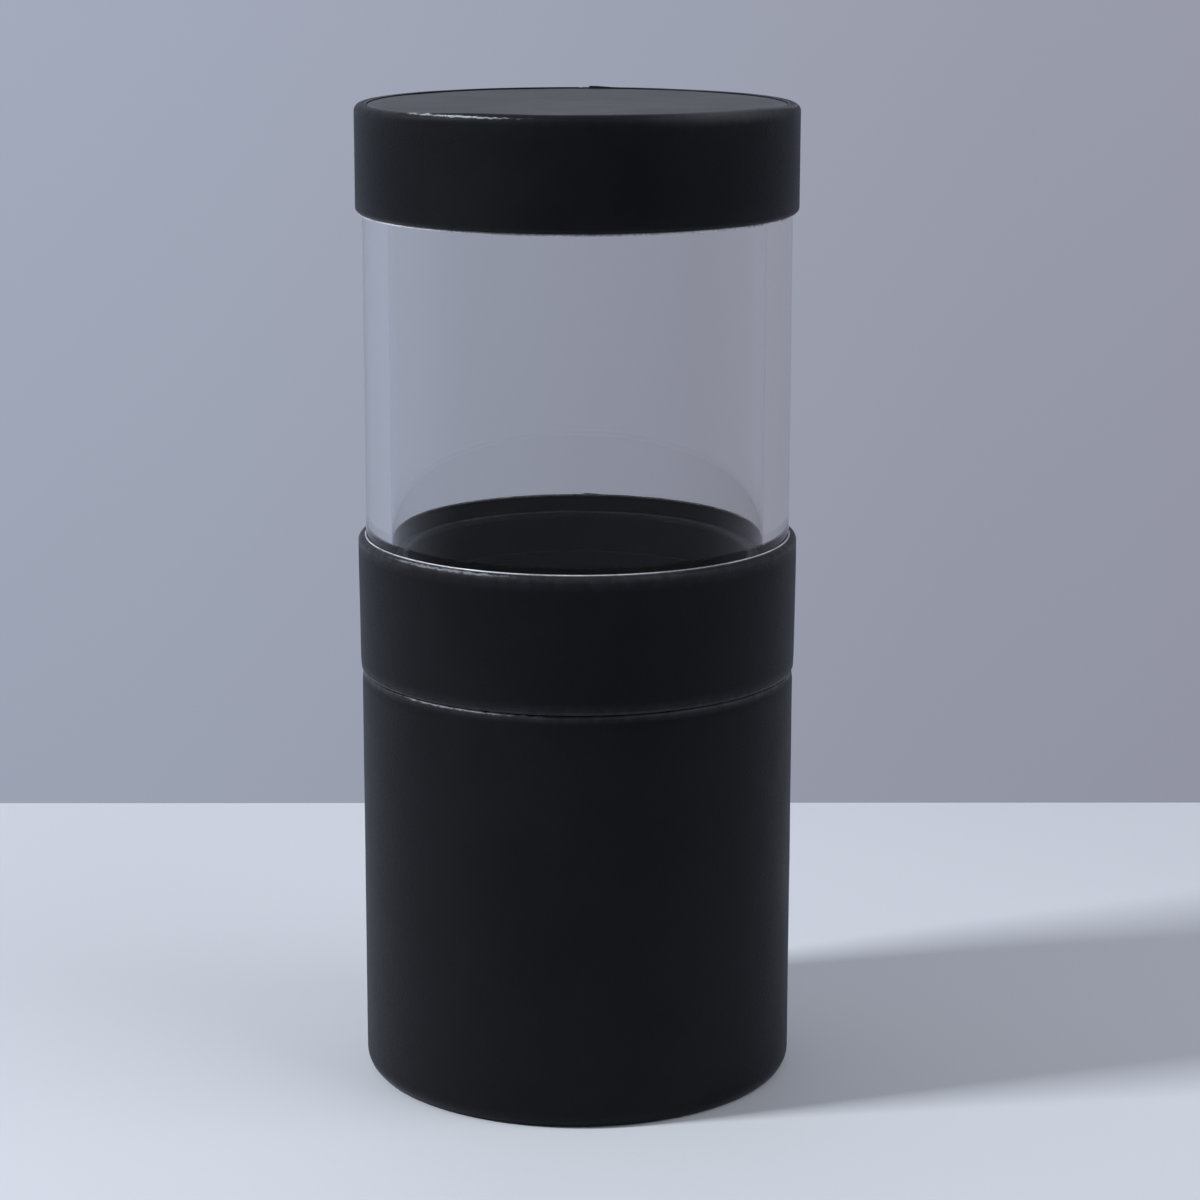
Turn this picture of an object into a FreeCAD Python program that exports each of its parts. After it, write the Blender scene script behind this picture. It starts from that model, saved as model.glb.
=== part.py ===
import FreeCAD
import Part
import Sketcher
import os

# A round leather-covered holder for makeup brushes, in millimetres, standing on z = 0 with +Z up.
# A base cup with an inner neck carries a lift-off cover, which is a clear tube with a leather
# collar. A slip-on lid closes the top of the tube. Every piece is round about the Z axis.

# Driving dimensions: name, size and what it measures
SIZES = [
    ("tube_outer_diameter", 83.0, "outside of the clear tube, and of the cup wall under the leather"),
    ("tube_wall", 5.0, "wall of the clear tube"),
    ("tube_length", 105.0, "length of the clear tube"),
    ("tube_edge_chamfer", 0.4, "broken edges at both ends of the clear tube"),
    ("glue_line", 0.05, "glue between two round layers"),
    ("hem_setback", 1.5, "from the bore of the clear tube to the cut edge of a turned hem"),
    ("cup_height", 81.8, "from the table to the parting seam"),
    ("cup_leather", 1.0, "leather on the cup"),
    ("cup_wall_bottom_radius", 2.0, "rounding of the lower edge of the cup wall, under the leather"),
    ("seam_taper_height", 2.5, "stretch on each side of the parting seam where the leather draws in"),
    ("seam_taper_depth", 0.3, "how far it draws in there"),
    ("seam_edge_radius", 0.4, "rounding of both turned leather edges at the parting seam"),
    ("cup_bottom_hem", 8.0, "leather turned under the cup"),
    ("bottom_cover_thickness", 0.3, "thin leather disc under the cup"),
    ("bottom_cover_overlap", 2.5, "how far that disc covers the turned hem"),
    ("floor_board_thickness", 2.5, "board that closes the cup"),
    ("neck_clearance", 0.3, "between the neck and the bore of the clear tube"),
    ("neck_rim_drop", 2.5, "from the top of the collar down to the rim of the neck"),
    ("neck_leather", 0.4, "thin covering of the neck"),
    ("neck_wall", 2.0, "wall of the neck tube"),
    ("neck_hem", 8.0, "covering turned down inside the rim of the neck"),
    ("lining_thickness", 0.8, "soft lining of the cup"),
    ("floor_pad_thickness", 2.0, "soft pad on the floor of the cup"),
    ("collar_height", 26.5, "from the parting seam to the top of the collar"),
    ("collar_leather", 1.45, "leather of the collar"),
    ("collar_edge_radius", 1.1, "rounding of the leather at the top of the collar"),
    ("lid_height", 20.5, "height of the lid"),
    ("lid_clearance", 0.3, "between the lid skirt and the clear tube"),
    ("lid_skirt_wall", 0.35, "card ring that slips over the clear tube"),
    ("lid_leather", 0.55, "leather band round the lid"),
    ("lid_hem", 1.0, "leather turned in under the card ring"),
    ("lid_low_radius", 0.85, "rounding of the leather at the bottom of the lid"),
    ("lid_rim_radius", 1.4, "rounding of the leather at the top of the lid"),
    ("lid_rim_width", 2.4, "from the outside of the lid to the cut edge of the turned-in rim"),
    ("lid_rim_leather", 0.7, "leather of the turned-in rim"),
    ("lid_rim_gap", 0.1, "groove between that rim and the disc inside it"),
    ("lid_lining_thickness", 0.5, "lining under the lid board, which rests on the clear tube"),
    ("lid_board_thickness", 2.6, "board of the lid"),
    ("lid_top_leather", 0.45, "leather disc on the lid board"),
]

doc = FreeCAD.newDocument("brush_holder")
sizes = doc.addObject("Spreadsheet::Sheet", "sizes")
for row, (alias, size, meaning) in enumerate(SIZES, start=1):
    sizes.set(f"A{row}", meaning)
    sizes.set(f"B{row}", str(size))
    sizes.setAlias(f"B{row}", alias)
doc.recompute()

# Radii that several pieces share, from the outside of the tube inwards and outwards
tube_radius = "(sizes.tube_outer_diameter / 2)"
tube_bore = f"({tube_radius} - sizes.tube_wall)"
hem_edge = f"({tube_bore} + sizes.hem_setback)"
neck_radius = f"({tube_bore} - sizes.neck_clearance)"
neck_board_radius = f"({neck_radius} - sizes.neck_leather - sizes.glue_line)"
neck_bore = f"({neck_board_radius} - sizes.neck_wall)"
lining_radius = f"({neck_bore} - sizes.glue_line)"
lining_bore = f"({lining_radius} - sizes.lining_thickness)"
neck_hem_bore = f"({lining_radius} - sizes.neck_leather)"
leather_bore = f"({tube_radius} + sizes.glue_line)"
cup_radius = f"({leather_bore} + sizes.cup_leather)"
collar_radius = f"({leather_bore} + sizes.collar_leather)"
cup_seam_radius = f"({cup_radius} - sizes.seam_taper_depth)"
collar_seam_radius = f"({collar_radius} - sizes.seam_taper_depth)"
skirt_bore = f"({tube_radius} + sizes.lid_clearance)"
skirt_radius = f"({skirt_bore} + sizes.lid_skirt_wall)"
lid_wrap_bore = f"({skirt_radius} + sizes.glue_line)"
lid_radius = f"({lid_wrap_bore} + sizes.lid_leather)"
lid_rim_edge = f"({lid_radius} - sizes.lid_rim_width)"

# Heights that several pieces share, from the table up
hem_low = "sizes.bottom_cover_thickness"
wall_low = f"({hem_low} + sizes.cup_leather)"
floor_top = f"({wall_low} + sizes.floor_board_thickness)"
seam = "sizes.cup_height"
wall_top = f"({seam} - sizes.cup_leather)"
collar_top = f"({seam} + sizes.collar_height)"
neck_top = f"({collar_top} - sizes.neck_rim_drop)"
neck_board_top = f"({neck_top} - sizes.neck_leather)"
neck_hem_low = f"({neck_top} - sizes.neck_hem)"
tube_low = f"({seam} + sizes.collar_leather)"
tube_top = f"({tube_low} + sizes.tube_length)"
lid_board_low = f"({tube_top} + sizes.lid_lining_thickness)"
lid_board_top = f"({lid_board_low} + sizes.lid_board_thickness)"
lid_top = f"({lid_board_top} + sizes.lid_rim_leather)"
lid_low = f"({lid_top} - sizes.lid_height)"
skirt_low = f"({lid_low} + sizes.lid_hem)"


def amount(expression):
    """The number that an expression on the sheet comes to."""
    return float(sizes.evalExpression(expression))


def new_sketch(body, plane_role, suffix):
    """A sketch on one of the body's own origin planes."""
    plane = next(item for item in body.Origin.OriginFeatures if item.Role == plane_role)
    sketch = body.newObject("Sketcher::SketchObject", f"{body.Name}_{suffix}")
    sketch.AttachmentSupport = [(plane, "")]
    sketch.MapMode = "FlatFace"
    return sketch


def bind(sketch, kind, *places, expression):
    """A dimension in a sketch that follows the sheet."""
    index = sketch.addConstraint(Sketcher.Constraint(kind, *places, amount(expression)))
    sketch.setExpression(f"Constraints[{index}]", expression)


def padded(label, low, high, *radii):
    """A disc, or a ring if two radii are given, padded between two heights."""
    body = doc.addObject("PartDesign::Body", label)
    sketch = new_sketch(body, "XY_Plane", "outline")
    sketch.setExpression(".AttachmentOffset.Base.z", low)
    for radius in radii:
        circle = Part.Circle(FreeCAD.Vector(), FreeCAD.Vector(0, 0, 1), amount(radius))
        index = sketch.addGeometry(circle)
        sketch.addConstraint(Sketcher.Constraint("Coincident", index, 3, -1, 1))
        bind(sketch, "Radius", index, expression=radius)
    pad = body.newObject("PartDesign::Pad", f"{label}_pad")
    pad.Profile = sketch
    pad.setExpression("Length", f"{high} - {low}")
    doc.recompute()
    return body


def turned(label, corners):
    """A body revolved about Z from a closed profile of (radius, height) corners."""
    body = doc.addObject("PartDesign::Body", label)
    sketch = new_sketch(body, "XZ_Plane", "profile")
    points = [FreeCAD.Vector(amount(radius), amount(height), 0) for radius, height in corners]
    count = len(points)
    for index in range(count):
        sketch.addGeometry(Part.LineSegment(points[index], points[(index + 1) % count]))
    for index, (radius, height) in enumerate(corners):
        sketch.addConstraint(Sketcher.Constraint("Coincident", index, 2, (index + 1) % count, 1))
        bind(sketch, "DistanceX", -1, 1, index, 1, expression=radius)
        bind(sketch, "DistanceY", -1, 1, index, 1, expression=height)
    revolution = body.newObject("PartDesign::Revolution", f"{label}_revolution")
    revolution.Profile = sketch
    revolution.ReferenceAxis = (sketch, ["V_Axis"])
    revolution.Angle = 360
    doc.recompute()
    return body


def rims(feature, places):
    """The names of a feature's circular edges at the given (radius, height) places."""
    tolerance = 0.001
    found = []
    for radius, height in places:
        for number, edge in enumerate(feature.Shape.Edges, start=1):
            if not isinstance(edge.Curve, Part.Circle):
                continue
            radius_off = abs(edge.Curve.Radius - amount(radius))
            height_off = abs(edge.Curve.Center.z - amount(height))
            if max(radius_off, height_off) < tolerance:
                found.append(f"Edge{number}")
    if len(found) != len(places):
        raise RuntimeError(f"{feature.Name}: {len(found)} rims found, {len(places)} wanted")
    return found


def rounded(body, size, *places):
    """Rounds a body's edges at the given (radius, height) places."""
    base = body.Tip
    fillet = body.newObject("PartDesign::Fillet", f"{body.Name}_round")
    fillet.Base = (base, rims(base, places))
    fillet.setExpression("Radius", size)
    doc.recompute()


def chamfered(body, size, *places):
    """Breaks a body's edges at the given (radius, height) places."""
    base = body.Tip
    chamfer = body.newObject("PartDesign::Chamfer", f"{body.Name}_chamfer")
    chamfer.Base = (base, rims(base, places))
    chamfer.setExpression("Size", size)
    doc.recompute()


# Cup wall: a thick round tube with its lower outer edge rounded
cup_wall = padded("cup_wall", wall_low, wall_top, tube_radius, f"{neck_radius} + sizes.glue_line")
rounded(cup_wall, "sizes.cup_wall_bottom_radius", (tube_radius, wall_low))

# Cup wrap: a leather sleeve, turned in over the top of the wall and under the bottom
bottom_hem_edge = f"({cup_radius} - sizes.cup_bottom_hem)"
cup_wrap = turned("cup_wrap", [
    (bottom_hem_edge, hem_low),
    (cup_radius, hem_low),
    (cup_radius, f"{seam} - sizes.seam_taper_height"),
    (cup_seam_radius, seam),
    (hem_edge, seam),
    (hem_edge, wall_top),
    (leather_bore, wall_top),
    (leather_bore, wall_low),
    (bottom_hem_edge, wall_low),
])
rounded(cup_wrap, "sizes.cup_wall_bottom_radius + sizes.glue_line", (leather_bore, wall_low))
rounded(
    cup_wrap,
    "sizes.cup_wall_bottom_radius + sizes.glue_line + sizes.cup_leather",
    (cup_radius, hem_low),
)
rounded(cup_wrap, "sizes.seam_edge_radius", (cup_seam_radius, seam))

# Floor of the cup: the board inside the wall, the filler inside the hem and the disc that covers both
padded("cup_floor_board", wall_low, floor_top, neck_radius)
padded("cup_bottom_filler", hem_low, wall_low, f"{bottom_hem_edge} - sizes.glue_line")
padded("cup_bottom_cover", "0", hem_low, f"{bottom_hem_edge} + sizes.bottom_cover_overlap")

# Neck: a tube that stands on the floor board and reaches up into the collar
padded("neck_tube", floor_top, neck_board_top, neck_board_radius, neck_bore)

# Neck wrap: a thin covering, turned in over the rim and down the inside
turned("neck_wrap", [
    (f"{neck_board_radius} + sizes.glue_line", floor_top),
    (neck_radius, floor_top),
    (neck_radius, neck_top),
    (neck_hem_bore, neck_top),
    (neck_hem_bore, neck_hem_low),
    (lining_radius, neck_hem_low),
    (lining_radius, neck_board_top),
    (f"{neck_board_radius} + sizes.glue_line", neck_board_top),
])

# Soft inside of the cup: a lining up to the turned covering, and a pad on the floor
padded("cup_lining", floor_top, neck_hem_low, lining_radius, lining_bore)
padded(
    "cup_floor_pad",
    floor_top,
    f"({floor_top} + sizes.floor_pad_thickness)",
    f"{lining_bore} - sizes.glue_line",
)

# Clear tube: thick walled, open at both ends, with broken edges
clear_tube = padded("clear_tube", tube_low, tube_top, tube_radius, tube_bore)
chamfered(
    clear_tube,
    "sizes.tube_edge_chamfer",
    (tube_radius, tube_low),
    (tube_bore, tube_low),
    (tube_radius, tube_top),
    (tube_bore, tube_top),
)

# Collar wrap: a leather band turned under the end of the tube and rounded off at its top edge
collar_wrap = turned("collar_wrap", [
    (hem_edge, seam),
    (collar_seam_radius, seam),
    (collar_radius, f"{seam} + sizes.seam_taper_height"),
    (collar_radius, collar_top),
    (leather_bore, collar_top),
    (leather_bore, tube_low),
    (hem_edge, tube_low),
])
rounded(collar_wrap, "sizes.seam_edge_radius", (collar_seam_radius, seam))
rounded(collar_wrap, "sizes.collar_edge_radius", (collar_radius, collar_top))

# Lid: lining and board under the top leather, inside a card skirt that slips over the tube
padded("lid_lining", tube_top, lid_board_low, f"{skirt_bore} - sizes.glue_line")
padded("lid_board", lid_board_low, lid_board_top, f"{skirt_bore} - sizes.glue_line")
padded("lid_skirt", skirt_low, lid_board_top, skirt_radius, skirt_bore)
padded(
    "lid_top_leather",
    lid_board_top,
    f"({lid_board_top} + sizes.lid_top_leather)",
    f"{lid_rim_edge} - sizes.lid_rim_gap",
)

# Lid wrap: a leather band round the skirt, turned in below it and over the board, where its rim
# stands a little above the disc inside
lid_wrap = turned("lid_wrap", [
    (skirt_bore, lid_low),
    (lid_radius, lid_low),
    (lid_radius, lid_top),
    (lid_rim_edge, lid_top),
    (lid_rim_edge, lid_board_top),
    (lid_wrap_bore, lid_board_top),
    (lid_wrap_bore, skirt_low),
    (skirt_bore, skirt_low),
])
rounded(lid_wrap, "sizes.lid_low_radius", (lid_radius, lid_low))
rounded(lid_wrap, "sizes.lid_rim_radius", (lid_radius, lid_top))

# Every object has to be sound before anything is written
for item in doc.Objects:
    if {"Invalid", "Error"} & set(item.State):
        raise RuntimeError(f"{item.Name} failed: {item.State}")
bodies = [item for item in doc.Objects if item.isDerivedFrom("PartDesign::Body")]
for body in bodies:
    if body.Shape.isNull() or not body.Shape.isValid() or len(body.Shape.Solids) != 1:
        raise RuntimeError(f"{body.Label} is not one sound solid")

os.makedirs("parts", exist_ok=True)
for body in bodies:
    body.Shape.exportStep(f"parts/{body.Label}.step")
    box = body.Shape.optimalBoundingBox(False)
    print(f"{body.Label}: {box.XLength:.2f} wide, {box.ZMin:.2f} to {box.ZMax:.2f} high")
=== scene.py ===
# %% [markdown]
# # A leather-covered holder for makeup brushes
#
# The holder is a black leather cup with an inner neck, a thick clear tube that stands on the cup in
# a leather collar, and a leather lid. A CAD model holds its construction, so this lesson dresses
# that model: it reads every size from the model's pieces and never moves one of them.

# %% Load the model
import math
from collections import namedtuple
from types import SimpleNamespace

import bpy
from mathutils import Matrix, Vector


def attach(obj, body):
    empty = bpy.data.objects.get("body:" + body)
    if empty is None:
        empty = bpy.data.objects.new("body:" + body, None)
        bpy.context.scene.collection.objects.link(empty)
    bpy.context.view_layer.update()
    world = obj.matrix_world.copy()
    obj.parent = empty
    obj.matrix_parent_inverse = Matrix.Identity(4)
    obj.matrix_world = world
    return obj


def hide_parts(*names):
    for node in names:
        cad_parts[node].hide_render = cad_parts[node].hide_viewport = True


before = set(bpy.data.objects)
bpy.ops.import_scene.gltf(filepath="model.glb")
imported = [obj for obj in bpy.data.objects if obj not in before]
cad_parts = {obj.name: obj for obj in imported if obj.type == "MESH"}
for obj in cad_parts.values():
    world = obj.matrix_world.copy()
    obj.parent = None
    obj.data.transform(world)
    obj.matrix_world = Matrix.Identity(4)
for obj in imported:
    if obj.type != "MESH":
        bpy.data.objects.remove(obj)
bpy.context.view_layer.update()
print("pieces in the model:", ", ".join(sorted(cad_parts)))

# %% [markdown]
# ## Sizes from the model
#
# Every piece is round about the upright axis, so four numbers describe it well: its inner and outer
# radius and the heights where it starts and ends. Reading them from the mesh keeps the dressed
# pieces true to the model when a size changes there. They are in millimetres, which suit a hand
# sized object, and each finished mesh is scaled to Blender's metres.

# %% Measure the round pieces
MM = 0.001


def measure(name):
    """The inner and outer radius of a round piece, and its lowest and highest point."""
    points = [vertex.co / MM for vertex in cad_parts[name].data.vertices]
    radii = [math.hypot(point.x, point.y) for point in points]
    heights = [point.z for point in points]
    return SimpleNamespace(inner=min(radii), outer=max(radii), low=min(heights), high=max(heights))


size = {name: measure(name) for name in sorted(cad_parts)}
for name, ring in size.items():
    print(f"{name}: radius {ring.outer:.2f}, height {ring.low:.2f} to {ring.high:.2f} mm")

# %% [markdown]
# ## The camera
#
# A long lens from a little above keeps the sides of the holder nearly upright. The place, tilt and
# lens were found by fitting a camera to the rings and edges of the photographed holder. A camera
# looks down its own -Z, so it is first tipped up from the floor, then turned, and rolled last.

# %% Place the camera
CAMERA_LENS = 102.04
CAMERA_SENSOR = 36.0
CAMERA_PLACE = Vector((0.0, -0.656, 0.2415))
CAMERA_DOWN = math.radians(12.634)
CAMERA_TURN = math.radians(0.389)
CAMERA_ROLL = math.radians(0.076)

camera_data = bpy.data.cameras.new("camera")
camera_data.lens = CAMERA_LENS
camera_data.sensor_width = CAMERA_SENSOR
camera = bpy.data.objects.new("camera", camera_data)
bpy.context.scene.collection.objects.link(camera)
camera.matrix_world = (
    Matrix.Translation(CAMERA_PLACE)
    @ Matrix.Rotation(-CAMERA_TURN, 4, "Z")
    @ Matrix.Rotation(math.pi / 2 - CAMERA_DOWN, 4, "X")
    @ Matrix.Rotation(CAMERA_ROLL, 4, "Z")
)
bpy.context.scene.camera = camera
print(f"camera: {CAMERA_LENS:g} mm lens, {CAMERA_PLACE.length:.2f} m from the foot of the holder")

# %% [markdown]
# ## Node helpers
#
# Materials and geometry trees are both made of nodes and links. One helper fills a node's inputs,
# each with a plain value or another node's output, and the next makes a node and fills it at once.
# The others are for what trees use all the time: arithmetic, ranges, colours, noise and angles.

# %% Make nodes in one line
def fill_inputs(tree, node, inputs):
    """Links or fills the inputs of a node, by name or by number."""
    for name, value in inputs.items():
        if isinstance(value, bpy.types.NodeSocket):
            tree.links.new(value, node.inputs[name])
        else:
            node.inputs[name].default_value = value


def add_node(tree, kind, inputs=None, **settings):
    """A new node with its settings, and its inputs linked or filled."""
    node = tree.nodes.new(kind)
    for name, value in settings.items():
        setattr(node, name, value)
    fill_inputs(tree, node, inputs or {})
    return node


def maths(tree, operation, *values):
    """The output of a Math node that works on these values."""
    node = add_node(tree, "ShaderNodeMath", dict(enumerate(values)), operation=operation)
    return node.outputs[0]


def map_range(tree, value, start, end, low=0.0, high=1.0, smooth=False):
    """The output of a Map Range node from start..end to low..high."""
    node = add_node(
        tree,
        "ShaderNodeMapRange",
        {"Value": value, "From Min": start, "From Max": end, "To Min": low, "To Max": high},
        interpolation_type="SMOOTHSTEP" if smooth else "LINEAR",
    )
    return node.outputs[0]


def colour_mix(tree, factor, first, second):
    """The output of a colour mix, from plain colours or other outputs."""
    node = add_node(tree, "ShaderNodeMix", {0: factor, 6: first, 7: second}, data_type="RGBA")
    return node.outputs[2]


def axes_of(tree, position):
    """The X, Y and Z outputs of a position."""
    return add_node(tree, "ShaderNodeSeparateXYZ", {"Vector": position}).outputs


def angle_of(tree, axes):
    """The angle of a position round the upright axis."""
    return maths(tree, "ARCTAN2", axes["Y"], axes["X"])


print("node helpers ready")

# %% Make patterns and materials in one line
NOISE_LOW = 0.3
NOISE_HIGH = 0.7


def noise_texture(tree, place, scale, detail=3.0, distortion=0.0):
    """The output of a noise whose cells are about 1 / scale metres across."""
    node = add_node(
        tree,
        "ShaderNodeTexNoise",
        {"Vector": place, "Scale": scale, "Detail": detail, "Distortion": distortion},
    )
    return node.outputs[0]


def from_noise(tree, noise, low, high):
    """A noise stretched to low..high, from the range where nearly all of it lies."""
    return map_range(tree, noise, NOISE_LOW, NOISE_HIGH, low, high)


def cell_texture(tree, place, scale):
    """How far each place is from the middle of its cell in a Voronoi pattern."""
    node = add_node(tree, "ShaderNodeTexVoronoi", {"Vector": place, "Scale": scale})
    return node.outputs["Distance"]


def new_material(name):
    """A material with nodes, its tree, its shader and its object coordinates."""
    material = bpy.data.materials.new(name)
    material.use_nodes = True
    tree = material.node_tree
    place = add_node(tree, "ShaderNodeTexCoord").outputs["Object"]
    return material, tree, tree.nodes["Principled BSDF"], place


print("pattern helpers ready")

# %% [markdown]
# ## The table and the backdrop
#
# The holder stands on a pale table whose far edge cuts the picture, with a plain bluish backdrop
# behind it. The backdrop is the world itself, so it shows in the clear tube and lights the leather
# from all round. It is darker on the camera's side, as in a studio, because black leather looks
# black only where it has little to reflect. The clear tube mirrors the table, so the corners of the
# table are well rounded: sharp ones would show in the tube as spikes.

# %% Colour management and world
bpy.context.scene.view_settings.view_transform = "Standard"

BACKDROP_LEFT = (0.37, 0.41, 0.51, 1.0)
BACKDROP_RIGHT = (0.31, 0.32, 0.39, 1.0)
ROOM_FRONT = (0.13, 0.14, 0.165, 1.0)
LEFT_TO_RIGHT = (-0.25, 0.25)
FRONT_TO_BACK = (-0.4, 0.6)
LOW_TO_HIGH = (-0.28, -0.05)
STRENGTH = (0.9, 1.0)

world = bpy.data.worlds.new("studio")
bpy.context.scene.world = world
world.use_nodes = True
sky = world.node_tree
direction = add_node(sky, "ShaderNodeTexCoord").outputs["Generated"]
axes = axes_of(sky, direction)
across = map_range(sky, axes["X"], *LEFT_TO_RIGHT, smooth=True)
ahead = map_range(sky, axes["Y"], *FRONT_TO_BACK, smooth=True)
backdrop = colour_mix(sky, across, BACKDROP_LEFT, BACKDROP_RIGHT)
room = colour_mix(sky, ahead, ROOM_FRONT, backdrop)
fade = map_range(sky, axes["Z"], *LOW_TO_HIGH, *STRENGTH)
fill_inputs(sky, sky.nodes["Background"], {"Color": room, "Strength": fade})
print("backdrop lit from all round")

# %% Table top
TABLE_BACK = 0.1855
TABLE_FRONT = -0.35
TABLE_HALF_WIDTH = 0.33
TABLE_THICKNESS = 0.03
TABLE_CORNER = 0.16
TABLE_CORNER_STEPS = 24
TABLE_EDGE = 0.002
TABLE_EDGE_STEPS = 3

table_mesh = bpy.data.meshes.new("table")
table_mesh.from_pydata(
    [
        (-TABLE_HALF_WIDTH, TABLE_FRONT, 0.0),
        (TABLE_HALF_WIDTH, TABLE_FRONT, 0.0),
        (TABLE_HALF_WIDTH, TABLE_BACK, 0.0),
        (-TABLE_HALF_WIDTH, TABLE_BACK, 0.0),
    ],
    [],
    [(0, 1, 2, 3)],
)
table = bpy.data.objects.new("table", table_mesh)
bpy.context.scene.collection.objects.link(table)
table_corners = table.modifiers.new("rounded corners", "BEVEL")
table_corners.affect = "VERTICES"
table_corners.width = TABLE_CORNER
table_corners.segments = TABLE_CORNER_STEPS
table_slab = table.modifiers.new("thickness", "SOLIDIFY")
table_slab.thickness = TABLE_THICKNESS
table_edges = table.modifiers.new("eased edges", "BEVEL")
table_edges.width = TABLE_EDGE
table_edges.segments = TABLE_EDGE_STEPS
print(f"table edge {TABLE_BACK} m behind the holder")

# %% Table paint
PAINT_COLOUR = (0.79, 0.795, 0.81, 1.0)
PAINT_SCALE = 9.0
PAINT_ROUGHNESS = (0.55, 0.65)

table_paint, paint, paint_shader, paint_place = new_material("table_paint")
paint_noise = noise_texture(paint, paint_place, PAINT_SCALE, detail=2.0)
paint_rough = from_noise(paint, paint_noise, *PAINT_ROUGHNESS)
fill_inputs(paint, paint_shader, {"Base Color": PAINT_COLOUR, "Roughness": paint_rough})
table_mesh.materials.append(table_paint)
print("table painted")

# %% [markdown]
# ## Studio lights
#
# Two soft boxes stand at the sides. The left one is the key: it is small, so it throws a fairly
# crisp shadow to the right, and it lights the rim of the lid. The right one is large and weak. It
# lifts the other edge of the leather and gives the faint soft shadow at the left. Nothing shines
# straight from the front, so the middle of the leather stays deep black.

# %% Soft boxes
LIGHT_AIM = Vector((0.0, 0.0, 0.09))
COOL_WHITE = (0.88, 0.93, 1.0)


def soft_box(name, azimuth, elevation, distance, side, power):
    """A square light that looks at the middle of the holder from a compass angle and a height."""
    turn = math.radians(azimuth)
    rise = math.radians(elevation)
    outward = Vector((
        math.cos(turn) * math.cos(rise), math.sin(turn) * math.cos(rise), math.sin(rise)
    ))
    light = bpy.data.lights.new(name, "AREA")
    light.shape = "SQUARE"
    light.size = side
    light.energy = power
    light.color = COOL_WHITE
    lamp = bpy.data.objects.new(name, light)
    lamp.location = LIGHT_AIM + outward * distance
    lamp.rotation_euler = outward.to_track_quat("Z", "Y").to_euler()
    bpy.context.scene.collection.objects.link(lamp)


soft_box("key_light", azimuth=196.3, elevation=42.0, distance=1.4, side=0.2, power=15.3)
soft_box("fill_light", azimuth=-25.0, elevation=40.0, distance=1.2, side=0.9, power=4.9)
print("two soft boxes placed")

# %% [markdown]
# ## Profiles
#
# A turned piece is half of its cut section, swept round the axis. The section is given by its
# corners alone: each has a radius, a height and a rounding, and two weights. The skin weight says
# how much the surface there may wave, which is nothing at a held corner, and the wear weight marks
# edges that are rubbed in use. The helpers below put an arc at each corner, and a point close to
# each end of a straight run, which keeps smooth shading flat along it. Two arcs on a short edge
# share it, so they never overlap.

# %% Round the corners of a profile
Corner = namedtuple("Corner", "radius height rounding skin wear", defaults=(0.0, 1.0, 0.0))
ARC_STEP = math.radians(11.0)
EDGE_MARGIN = 0.15
SHORTEST_RUN = 4 * EDGE_MARGIN
EDGE_FILL = 0.97
WEAR_FADE = 0.5
NEARLY_FLAT = math.radians(179.5)
RING_SPACING = 3.0


def held(radius, height, rounding=0.0):
    """A corner where the skin is held, so it can't wave."""
    return Corner(radius, height, rounding, skin=0.0)


def edges_at(before, corner, after):
    """The place of a corner, and the two edges that leave it."""
    here, back, ahead = [Vector((item.radius, item.height)) for item in (corner, before, after)]
    return here, back - here, ahead - here


def wanted_reach(before, corner, after):
    """How far along its edges the arc of a corner would reach."""
    back, ahead = edges_at(before, corner, after)[1:]
    opening = back.angle(ahead)
    return 0.0 if opening > NEARLY_FLAT else corner.rounding / math.tan(opening / 2)


def shared_reach(own, others, edges):
    """The reach that fits when the arcs at both ends of an edge share its length."""
    if own == 0.0:
        return 0.0
    fits = [EDGE_FILL * edge.length / (own + other) for edge, other in zip(edges, others)]
    return own * min(1.0, *fits)


def corner_arc(before, corner, after, reach):
    """The points of one rounded corner, each with its weights."""
    weights = (corner.skin, corner.wear)
    here, back, ahead = edges_at(before, corner, after)
    if reach == 0.0:
        return [(here, weights)]
    opening = back.angle(ahead)
    rounding = reach * math.tan(opening / 2)
    middle = (back.normalized() + ahead.normalized()).normalized()
    centre = here + middle * rounding / math.sin(opening / 2)
    start = here + back.normalized() * rounding / math.tan(opening / 2) - centre
    turn = math.pi - opening
    steps = max(2, math.ceil(turn / ARC_STEP))
    sense = 1.0 if back.cross(ahead) < 0.0 else -1.0
    points = []
    for step in range(steps + 1):
        spoke = Matrix.Rotation(sense * turn * step / steps, 2) @ start
        points.append((centre + spoke, weights))
    return points


def straight_run(start, end):
    """Points between two arcs: one near each end, and more where the run is long."""
    (first, first_weights), (last, last_weights) = start, end
    length = (last - first).length
    if length < SHORTEST_RUN:
        return []
    between = length - 2 * EDGE_MARGIN
    spans = max(1, math.ceil(between / RING_SPACING))
    stops = [EDGE_MARGIN + between * step / spans for step in range(spans + 1)]
    points = []
    for stop in stops:
        share = stop / length
        skin = first_weights[0] * (1 - share) + last_weights[0] * share
        wear = 0.0
        if stop in (stops[0], stops[-1]):
            wear = WEAR_FADE * (first_weights[1] if stop == stops[0] else last_weights[1])
        points.append((first.lerp(last, share), (skin, wear)))
    return points


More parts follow.
